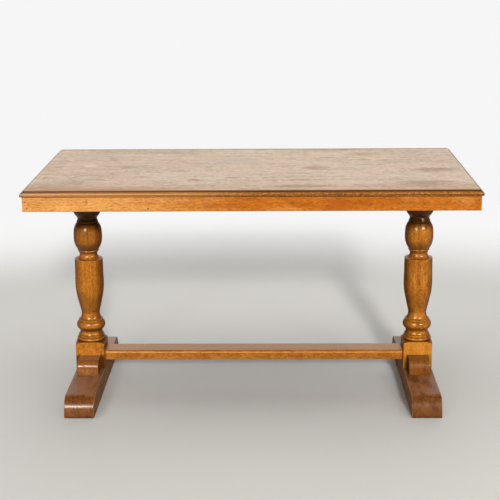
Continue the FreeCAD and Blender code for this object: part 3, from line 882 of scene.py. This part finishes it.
def markBoard(piece, low, high):
    # wear and tints by how far each point is from the edge of the whole top
    top = topBoards
    frontY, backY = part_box("top_board_1")[0].y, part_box("top_board_%d" % top["count"])[1].y
    place, _ = readPoints(piece.data)
    height = place[:, 2] - low.z
    fromFront = place[:, 1] - frontY
    toEnd = np.minimum(place[:, 0] - low.x, high.x - place[:, 0])
    toSide = np.minimum(fromFront, backY - place[:, 1])
    inset = np.minimum(toEnd, toSide)
    width = top["thumbRadius"] + top["quirkFlat"]
    edge = (inset < width + 0.1 * mm) & (place[:, 2] < high.z - 0.5 * mm)
    onFront = fromFront < width + 0.1 * mm
    rough = np.where(onFront, ease(place[:, 0], top["chippedFrom"], top["chippedTo"]), 0.35)
    chipped = edge * (0.12 + 0.88 * rough)
    inQuirk = edge & (inset > top["thumbRadius"] - 0.6 * mm)
    fromGroove = np.abs(height - top["underRound"] - 0.67 * top["land"])
    inGroove = edge & (fromGroove < 0.25 * top["land"]) & (inset < 3 * mm)
    # a painted shadow along the underside of the moulding
    under = 0.8 * edge * ease(height, *top["underShadowBand"])
    weather(piece, edgeWear, chipped * (inset < top["thumbRadius"]))
    marks = {
        "edge": edge.astype(float), "chipped": chipped,
        "front": ease(fromFront, *top["frontBand"]),
        "lip": ease(toSide - width, *top["lipBand"]),
        "brink": ease(toSide - width, *top["brinkBand"]),
        "upper": edge * ease(height, *top["upperBand"]),
        "hollow": np.maximum(inQuirk + 0.75 * inGroove, under),
    }
    for name, values in marks.items():
        setMark(piece, name, values)


def makeBoard(number):
    top = topBoards
    node = "top_board_%d" % number
    low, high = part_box(node)
    outer, joint = edgeProfile(), jointProfile(high.z - low.z)
    isFront, isBack = number == 1, number == top["count"]
    pitch = top["endPitch"] if isFront or isBack else 2 * top["endPitch"]
    alongX = boardStations(low.x, high.x, outer, outer, pitch)
    front, back = outer if isFront else joint, outer if isBack else joint
    alongY = boardStations(low.y, high.y, front, back, top["facePitch"])
    points = []
    for x, xRise in alongX:
        for y, yRise in alongY:
            rise = min(xRise, yRise)
            inset = underInset(rise)
            across = min(max(x, low.x + inset), high.x - inset)
            deep = max(y, low.y + inset * isFront)
            points.append((across, min(deep, high.y - inset * isBack), low.z + rise))
    rows, columns = len(alongX), len(alongY)
    loop = list(range(columns))
    loop += [row * columns + columns - 1 for row in range(1, rows)]
    loop += [(rows - 1) * columns + i for i in range(columns - 2, -1, -1)]
    loop += [row * columns for row in range(rows - 2, 0, -1)]
    piece = makePiece("topBoard%d" % number, points, gridFaces(rows, columns, False) + [tuple(loop)])
    weld(piece)
    markBoard(piece, low, high)
    dress(piece, makeTopFinish(number), node, corner=50)


for number in range(1, topBoards["count"] + 1):
    makeBoard(number)
print("top boards made")

# Apron: the long rails lap over the ends of the short ones and are pinned to them

pins = {
    "rise": 11.0 * mm,
    "spacing": 18.5 * mm,
    "stagger": 6.0 * mm,
    "head": 1.9 * mm,
    "shank": 1.1 * mm,
    "tip": 0.15 * mm,
    "neck": 2.2 * mm,
    "length": 38.0 * mm,
    "dome": 0.35 * mm,
    "turns": 18,
    "dent": 0.08,
    "dentPitch": 90,
}


def pinPlaces():
    # (x, z) of the heads on one long face
    low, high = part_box("apron_left")
    middle, bottom = abs(low.x + high.x) / 2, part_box("apron_front")[0].z
    rows = [(middle + way * pins["stagger"] / 2, row * pins["spacing"]) for row, way in enumerate((-1, 1))]
    return [(side * reach, bottom + pins["rise"] + rise) for side in (-1, 1) for reach, rise in rows]


apron = {
    "arris": 0.7 * mm,
    "lowerArris": 2.5 * mm,
    "endArris": 0.3 * mm,
    "facePitch": 5.0 * mm,
    "alongPitch": 7.0 * mm,
    # the way the grain runs, where it was cut, and the side it stands on
    "rails": {
        "front": ("X", 0.0, -1), "back": ("X", 0.41, 1), "left": ("Y", 0.83, -1), "right": ("Y", 1.27, 1),
    },
}
apronWear = {"wave": 0.14 * mm, "wavePitch": 14.0, "chip": 0.9 * mm, "chipPitch": 45.0, "chipStart": 0.72}


def makeRail(name, grain, shift, sign):
    low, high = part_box("apron_" + name)
    alongX = grain == "X"
    start, end = (low.x, high.x) if alongX else (low.y, high.y)
    inner, outer = sorted((abs(low.y), abs(high.y)) if alongX else (abs(low.x), abs(high.x)))
    soft, lower = apron["arris"], apron["lowerArris"]
    shape = ((inner, outer, low.z, high.z), (soft, lower, soft, soft), (3, 6, 3, 3), apron["facePitch"])
    stations = roundedStations(start, end, soft if alongX else apron["endArris"], apron["alongPitch"])

    def toPoint(place, out, up):
        return (place, sign * out, up) if alongX else (sign * out, place, up)

    piece = sweptBar(name + "Rail", shape, stations, toPoint)
    markEdges(piece)
    weather(piece, apronWear)
    dress(piece, makeApronFinish(name + "ApronOak", grain, shift), "apron_" + name)


for name, rail in apron["rails"].items():
    makeRail(name, *rail)
print("apron made")


def makePins():
    # shares of the head's radius and dome, then the shank
    profile = ((0.25, 1.0), (0.6, 0.75), (0.88, 0.3), (1.0, -0.5), (1.0, -1.8))
    rings = [(pins["head"] * reach, pins["dome"] * rise) for reach, rise in profile]
    shank, length, count = pins["shank"], pins["length"], pins["turns"]
    rings += [(shank, -pins["neck"]), (shank, -0.8 * length), (pins["tip"], -length)]
    turns = np.linspace(0, 2 * math.pi, count, endpoint=False)
    ways = [(math.cos(turn), math.sin(turn)) for turn in turns]
    points, faces = [], []
    for rail, sign in (("front", -1), ("back", 1)):
        low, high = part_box("apron_" + rail)
        surface = max(abs(low.y), abs(high.y))
        for x, z in pinPlaces():
            start = len(points)
            for reach, out in rings:
                for right, up in ways:
                    spot = Vector((x * pins["dentPitch"] + right, z * pins["dentPitch"] + up, sign))
                    radius = reach * (1 + pins["dent"] * noise.noise(spot))
                    points.append((x + radius * right, sign * (surface + out), z + radius * up))
            quads = gridFaces(len(rings), count, True)
            ends = [range(count), range((len(rings) - 1) * count, len(rings) * count)]
            faces += [tuple(start + i for i in face) for face in quads + ends]
    piece = makePiece("apronPinHeads", points, faces)
    weld(piece)
    dress(piece, makeSteelFinish("pinIron", 0.0, 0.95, 0.1), "apron_pins")


makePins()
print("pins made")

# Columns: square blocks with turned shoulders, and the turned shaft between them

column = {
    "squareArris": 1.5 * mm,
    "shoulder": 14.0 * mm,
    "baseHeight": 90.0 * mm,
    "headHeight": 84.0 * mm,
    "seat": 16.0 * mm,     # no rubbed arris below this, where the block sits on the foot
    "turns": 144,
    "cornerTurns": (-1.6, -0.93, -0.6, -0.3, 0.3, 0.6, 0.93, 1.6),
    "blockShares": (0.03, 0.2, 0.4, 0.6, 0.8, 0.96, 1.0),
    "rowPitch": 2.2 * mm,
    "left": {
        "shift": 0.2, "inner": 1, "undersideShadeShare": 0.90, "neckShadowShare": 0.72, "urnShadowShare": 0.55,
        "blockShare": 0.0, "stepShadowShare": 0.92,
    },
    "right": {
        "shift": 1.1, "inner": -1, "undersideShadeShare": 0.60, "neckShadowShare": 0.15, "urnShadowShare": 0.0,
        "blockShare": 0.35, "stepShadowShare": 0.40,
    },
}
# each step of the turning, from the base block up, in millimetres
turningStart = 42.4
turningSteps = (
    ("round", 47.3, 42.4, 12.0),      # base ring
    ("line", 42.4, 6.5),
    ("line", 41.0, 0.0),
    ("round", 36.5, 38.8, 18.5),      # scotia
    ("round", 46.7, 40.0, 29.5),      # torus
    ("line", 40.0, 4.5),
    ("line", 38.5, 0.0),
    ("cove", 29.7, 24.0),
    ("curve", ((0.21, 38.4), (0.4, 45.2), (0.7, 46.4), (1, 45.7)), 182.5),    # lower vase
    ("line", 42.0, 0.0),
    ("cove", 28.6, 17.0),
    ("line", 31.0, 7.5),
    ("round", 34.2, 33.5, 6.0),       # thin bead
    ("curve", ((0.21, 42.8), (0.6, 46.2), (0.85, 42.8), (1, 36.1)), 90.0),    # urn
    ("line", 33.0, 0.0),
    ("round", 34.8, 33.0, 8.0),       # small bead
    ("line", 30.0, 9.0),
    ("line", 33.0, 0.0),
    ("line", 33.0, 2.5),
    ("round", 42.2, 46.0, 24.5),      # collar
)
turnedWear = {"wave": 0.10 * mm, "wavePitch": 22.0, "chip": 0.5 * mm, "chipPitch": 60.0, "chipStart": 0.80}


def threePointArc(start, middle, end, parts):
    # the circle's middle is equally far from all three points
    points = np.array((start, middle, end))
    squares = (points**2).sum(1)
    centre = np.linalg.solve(2 * (points[1:] - points[0]), squares[1:] - squares[0])
    turns = np.degrees(np.unwrap([math.atan2(y - centre[1], x - centre[0]) for x, y in points]))
    return arc(centre, math.dist(start, centre), turns[0], turns[2], parts)


def smoothCurve(points, parts):
    # natural cubic spline through the points, by chord length
    points = np.array(points, float)
    knots = np.concatenate([[0], np.cumsum(np.linalg.norm(np.diff(points, axis=0), axis=1))])
    gaps = np.diff(knots)
    count = len(points)
    system, right = np.eye(count), np.zeros((count, 2))
    for i in range(1, count - 1):
        system[i, i - 1:i + 2] = gaps[i - 1], 2 * (gaps[i - 1] + gaps[i]), gaps[i]
        right[i] = 6 * ((points[i + 1] - points[i]) / gaps[i] - (points[i] - points[i - 1]) / gaps[i - 1])
    bends = np.linalg.solve(system, right)
    curve = []
    for at in np.linspace(0, knots[-1], parts + 1):
        i = min(np.searchsorted(knots, at, side="right") - 1, count - 2)
        left, done = (knots[i + 1] - at) / gaps[i], (at - knots[i]) / gaps[i]
        lift = ((left**3 - left) * bends[i] + (done**3 - done) * bends[i + 1]) * gaps[i] ** 2 / 6
        curve.append(tuple(left * points[i] + done * points[i + 1] + lift))
    return curve


def turnedProfile(bottom):
    # (radius, height) up the shaft, in metres
    here = (turningStart, 0.0)
    profile = [here]
    for kind, *sizes, rise in turningSteps:
        radius, low = here
        target, end = sizes[0], low + rise
        parts = max(1, round(rise * mm / column["rowPitch"]))
        if kind == "line":
            shares = np.linspace(0, 1, parts + 1)
            run = [(radius + (target - radius) * share, low + rise * share) for share in shares]
        elif kind == "round":
            run = threePointArc(here, (target, low + rise / 2), (sizes[1], end), max(8, parts))
        elif kind == "cove":
            ways = arc((0.0, 0.0), 1.0, 0, 90, 10)
            run = [(target + (radius - target) * (1 - up), end - rise * out) for out, up in ways]
        else:
            run = smoothCurve([here] + [(reach, low + rise * share) for share, reach in target], parts)
        profile += run[1:]
        here = run[-1]
    return [(radius * mm, bottom + height * mm) for radius, height in profile]


def squareRadius(turn, half):
    # how far a square with softened corners reaches at this turn
    soft = column["squareArris"]
    fold = abs((turn + math.pi / 4) % (math.pi / 2) - math.pi / 4)
    if half * math.tan(fold) <= half - soft:
        return half / math.cos(fold)
    reach = (half - soft) * math.sqrt(2)
    off = math.pi / 4 - fold
    return reach * math.cos(off) + math.sqrt(max(soft**2 - (reach * math.sin(off)) ** 2, 0))


def blockRows(half, flatEnd, farEnd):
    # (height, turned radius) from the end that meets the shaft to the far one
    soft = column["shoulder"]
    way = 1 if farEnd > flatEnd else -1
    flat = half * math.sqrt(2) - soft
    spring = flatEnd + way * soft
    rows = [(spring - way * out, flat + up) for out, up in arc((0.0, 0.0), soft, 0, 90, 12)]
    return rows + [(spring + (farEnd - spring) * share, 2 * half) for share in column["blockShares"]]


def makeColumn(side):
    node = side + "_column"
    low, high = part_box(node)
    axis, half = (low.x + high.x) / 2, (high.x - low.x) / 2
    footTop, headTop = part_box(side + "_foot")[1].z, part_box(side + "_bearer")[0].z
    baseTop, headBottom = footTop + column["baseHeight"], headTop - column["headHeight"]
    count = column["turns"]
    turns = {360 / count * part for part in range(count)}
    turns |= {45 + 90 * quarter + off for quarter in range(4) for off in column["cornerTurns"]}
    turns = [math.radians(turn) for turn in sorted(turns)]
    square = np.array([squareRadius(turn, half) for turn in turns])
    rows = [(z, np.minimum(square, reach)) for z, reach in reversed(blockRows(half, baseTop, footTop))]
    rows += [(z, np.full(len(turns), radius)) for radius, z in turnedProfile(baseTop)]
    rows += [(z, np.minimum(square, reach)) for z, reach in blockRows(half, headBottom, headTop)]
    points = []
    for z, radii in rows:
        points += [(axis + out * math.cos(turn), out * math.sin(turn), z) for out, turn in zip(radii, turns)]
    piece = closedTube(side + "Column", points, len(rows), len(turns))

    markEdges(piece, blunt=9 * mm, sharp=1.6 * mm, spread=2)
    place, _ = readPoints(piece.data)
    reach = np.hypot(place[:, 0] - axis, place[:, 1])
    flats = np.array([squareRadius(math.atan2(y, x - axis), half) for x, y, _ in place])
    onBlock = (place[:, 2] < baseTop + 0.1 * mm) | (place[:, 2] > headBottom - 0.1 * mm)
    setMark(piece, "shoulder", onBlock * (reach < flats - 0.3 * mm))
    worn = np.empty(len(place), dtype=np.float32)
    piece.data.attributes["arris"].data.foreach_get("value", worn)
    setMark(piece, "arris", worn * (place[:, 2] > footTop + column["seat"]))
    weather(piece, turnedWear)
    own = {**column[side], "axis": axis, "baseTop": baseTop, "step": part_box(side + "_front_step")}
    wood = makeStandFinish(side + "ColumnOak", "Z", own["shift"], {**standFinish, **own})
    dress(piece, wood, node, corner=30)


for side in ("left", "right"):
    makeColumn(side)
print("columns made")

# Feet, step blocks and stretcher

foot = {
    "toe": 46.0 * mm,
    "arris": 2.2 * mm,
    "sole": 3.0 * mm,
    "pitch": 7.0 * mm,
    "left": {"shift": 0.5, "deeper": 0.0, "paintedSideShare": 0.58},
    "right": {"shift": 1.6, "deeper": 0.25, "paintedSideShare": 1.0},
}
step = {
    "nose": 24.0 * mm,
    "tail": 0.4 * mm,
    "arris": 1.6 * mm,
    "sole": 0.3 * mm,
    "pitch": 5.0 * mm,
    "left": {"deeper": 0.0},
    "right": {"deeper": 0.38},
}
stretcherBar = {
    "arris": 8.0 * mm,
    "lower": 1.0 * mm,
    "endArris": 0.3 * mm,
    "facePitch": 2.0 * mm,
    "pitch": 7.0 * mm,
}
footWear = {"wave": 0.22 * mm, "wavePitch": 18.0, "chip": 1.1 * mm, "chipPitch": 38.0, "chipStart": 0.66}


def asGiven(x, y, z):
    return (x, y, z)


def makeBlock(name, node, radii, sizes, wood):
    # a foot or a step: its outline from the side, carried across
    low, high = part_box(node)
    shape = ((low.y, high.y, low.z, high.z), radii, (3, 3, 12, 12), sizes["pitch"])
    stations = roundedStations(low.x, high.x, sizes["arris"], sizes["pitch"])
    piece = sweptBar(name, shape, stations, asGiven)
    markEdges(piece, blunt=9 * mm, sharp=2 * mm)
    weather(piece, footWear)
    dress(piece, wood, node)


def makeFoot(side):
    own = foot[side]
    wood = makeStandFinish(side + "FootOak", "Y", own["shift"], {**footFinish, **own})
    radii = (foot["sole"], foot["sole"], foot["toe"], foot["toe"])
    makeBlock(side + "Foot", side + "_foot", radii, foot, wood)


def makeStep(side, end):
    name, node = side + end.capitalize() + "Step", side + "_" + end + "_step"
    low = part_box(node)[0]
    shift = 0.9 + 0.37 * low.x + 0.23 * low.y     # each step has a grain of its own
    wood = makeStandFinish(name + "Oak", "Y", shift, {**stepFinish, **step[side]})
    upper = (step["tail"], step["nose"])
    radii = (step["sole"], step["sole"], *(upper if end == "front" else reversed(upper)))
    makeBlock(name, node, radii, step, wood)


def makeStretcher():
    low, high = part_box("stretcher")
    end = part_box("right_foot")[0].x
    upper, lower = stretcherBar["arris"], stretcherBar["lower"]
    radii = (lower, lower, upper, upper)
    shape = ((low.y, high.y, low.z, high.z), radii, (3, 3, 8, 8), stretcherBar["facePitch"])
    stations = roundedStations(-end, end, stretcherBar["endArris"], stretcherBar["pitch"])
    piece = sweptBar("stretcherRail", shape, stations, asGiven)
    markEdges(piece)
    # a pale line low on the upper rounding: worn arris and painted highlight
    place, _ = readPoints(piece.data)
    drop = high.z - place[:, 2]
    worn = ease(drop, 0.66 * upper, 0.82 * upper) * ease(drop, 1.25 * upper, 1.02 * upper)
    setMark(piece, "arris", worn * (np.abs(place[:, 1]) > high.y - upper))
    weather(piece, footWear)
    dress(piece, makeStandFinish("stretcherOak", "X", 0.31, stretcherFinish), "stretcher")


for side in ("left", "right"):
    makeFoot(side)
    for end in ("front", "back"):
        makeStep(side, end)
makeStretcher()
print("feet, steps and stretcher made")

# Pieces that keep their solid: hidden timber and fixings

bearerWood = makeSoftwoodFinish("bearerSoftwood", "Y", 0.2)
blockWood = makeSoftwoodFinish("blockSoftwood", "Z", 0.7)
longBlockWood = makeSoftwoodFinish("longBlockSoftwood", "X", 1.3)
screwSteel = makeSteelFinish("screwSteel", 0.85)
# the first word that a node's name holds gives its finish
keptFinishes = {
    "screws": screwSteel, "washers": screwSteel, "bearer": bearerWood, "dowels": bearerWood,
    "wedges": blockWood, "corner_block": blockWood, "glue_blocks_front": longBlockWood,
    "glue_blocks_back": longBlockWood, "glue_blocks": bearerWood,
}
replaced = {name for piece in scene.objects for name in piece.get("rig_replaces", [])}
for name, node in frame["nodes"].items():
    if name not in replaced:
        node.data.materials.clear()
        node.data.materials.append(next(keptFinishes[word] for word in keptFinishes if word in name))
print("solids dressed:", len(frame["nodes"]) - len(replaced))

# Floor, light and camera

floor = {
    "near": (0.54, 0.525, 0.495),
    "far": (0.92, 0.92, 0.92),
    "grit": (0.5, 0.49, 0.47),
    "bounce": (0.10, 0.095, 0.09),
    "middle": (0.0, -0.9, 0.0),
    "fade": (2.2, 3.9),
    "rings": (40.0, 4.0, 1.5),
    "sides": 64,
    "drop": 0.3 * mm,
    "specular": 0.1,
}


def makeFloor():
    rows, sides = len(floor["rings"]), floor["sides"]
    points = []
    for reach in floor["rings"]:
        points += [(x, y, -floor["drop"]) for x, y in arc((0.0, 0.0), reach, 0, 360, sides)[:-1]]
    disc = tuple(range((rows - 1) * sides, rows * sides))
    piece = makePiece("studioFloor", points, gridFaces(rows, sides, True) + [disc])
    material, desk = newFinish("studioFloorPaint")
    spot = desk.node("ShaderNodeTexCoord", out="Object")
    distance = desk.span((spot - floor["middle"]).length(), *floor["fade"])
    grit = desk.noise(spot, (30.0, 30.0, 30.0), 4.0, 0.6)
    colour = desk.blend(floor["near"], floor["far"], distance)
    colour = desk.blend(colour, floor["grit"], desk.span(grit, 0.4, 0.7) * 0.04)
    paint = desk.node("ShaderNodeBsdfPrincipled", {}, {
        "Base Color": colour, "Roughness": 0.6 + 0.1 * grit, "Specular IOR Level": floor["specular"],
    })
    pale = desk.node("ShaderNodeEmission", {}, {"Color": floor["far"], "Strength": 1.0})
    pale = desk.node("ShaderNodeMixShader", {}, {0: distance, 1: paint, 2: pale})

    # the floor looks pale, but throws little light back up
    dull = desk.node("ShaderNodeBsdfDiffuse", {}, {"Color": floor["bounce"]})
    desk.close(desk.node("ShaderNodeMixShader", {}, {0: desk.seen(), 1: dull, 2: pale}))
    piece.data.materials.append(material)


studio = {
    "frontAir": 0.06,
    "backAir": 0.65,
    "airTurn": (0.65, 0.95),
    "skyline": 0.92,
    "skylineRise": (0.30, 0.12),     # pale above the floor's far edge
    "aim": (0.0, 0.0, 0.45),
    # strength, spread in degrees, and where it stands
    "suns": {
        "ceiling": (1.88, 80, (0.0, 0.0, 1.0)), "front": (2.98, 5, (0.123, -1.0, 0.384)),
        "back": (0.7, 40, (0.15, 1.0, 0.5)),
    },
    # place, power on the surface, power in its gloss, size
    "lamps": {
        "leftLamp": ((-1.50, -3.40, 1.83), 16.0, 168.0, 0.32),
        "rightLamp": ((1.60, -1.87, 1.43), 6.0, 54.0, 0.22),
    },
}


def makeAir():
    world = bpy.data.worlds.new("studioAir")
    world.use_nodes = True
    scene.world = world
    desk = Desk(world.node_tree)
    split = desk.node("ShaderNodeSeparateXYZ", {}, {0: desk.node("ShaderNodeTexCoord", out="Generated")})
    level = desk.span(split.other("Y"), *studio["airTurn"], studio["frontAir"], studio["backAir"])
    skyline = desk.span(split.other("Z"), *studio["skylineRise"])
    level = level + desk.seen() * skyline * (studio["skyline"] - level)
    air = desk.node("ShaderNodeBackground", {}, {"Color": (1.0, 1.0, 1.0), "Strength": level})
    desk.node("ShaderNodeOutputWorld", {}, {"Surface": air})


def makeSun(name, strength, spread, place):
    sun = bpy.data.lights.new(name, "SUN")
    sun.energy = strength
    sun.angle = math.radians(spread)
    lit = bpy.data.objects.new(name, sun)
    lit.rotation_euler = Vector(place).to_track_quat("Z", "Y").to_euler()
    lit.visible_glossy = False
    scene.collection.objects.link(lit)


def makeLamp(name, place, power, size):
    lamp = bpy.data.lights.new(name, "AREA")
    lamp.energy = power
    lamp.size = size
    lit = bpy.data.objects.new(name, lamp)
    lit.location = place
    lit.rotation_euler = (Vector(studio["aim"]) - Vector(place)).to_track_quat("-Z", "Y").to_euler()
    lit.visible_camera = False
    scene.collection.objects.link(lit)
    return lit


view = {
    "lens": 92.52,
    "sensor": 36.0,
    "place": (0.0548, -4.0906, 1.4804),
    "pitch": 0.2452,
    "yaw": 0.016,
    "roll": -0.0067,
}


def makeCamera():
    lens = bpy.data.cameras.new("photoCamera")
    lens.lens = view["lens"]
    lens.sensor_width = view["sensor"]
    camera = bpy.data.objects.new("photoCamera", lens)
    turn = Matrix.Rotation(view["yaw"], 4, "Z") @ Matrix.Rotation(math.pi / 2 - view["pitch"], 4, "X")
    camera.matrix_world = Matrix.Translation(view["place"]) @ turn @ Matrix.Rotation(view["roll"], 4, "Z")
    scene.collection.objects.link(camera)
    scene.camera = camera


makeFloor()
makeAir()
for name, sun in studio["suns"].items():
    makeSun(name, *sun)
for name, (place, power, gleam, size) in studio["lamps"].items():
    makeLamp(name, place, power, size).visible_glossy = False
    makeLamp(name + "Gleam", place, gleam, size).visible_diffuse = False
makeCamera()
scene.view_settings.view_transform = "Standard"
print("floor, light and camera set")
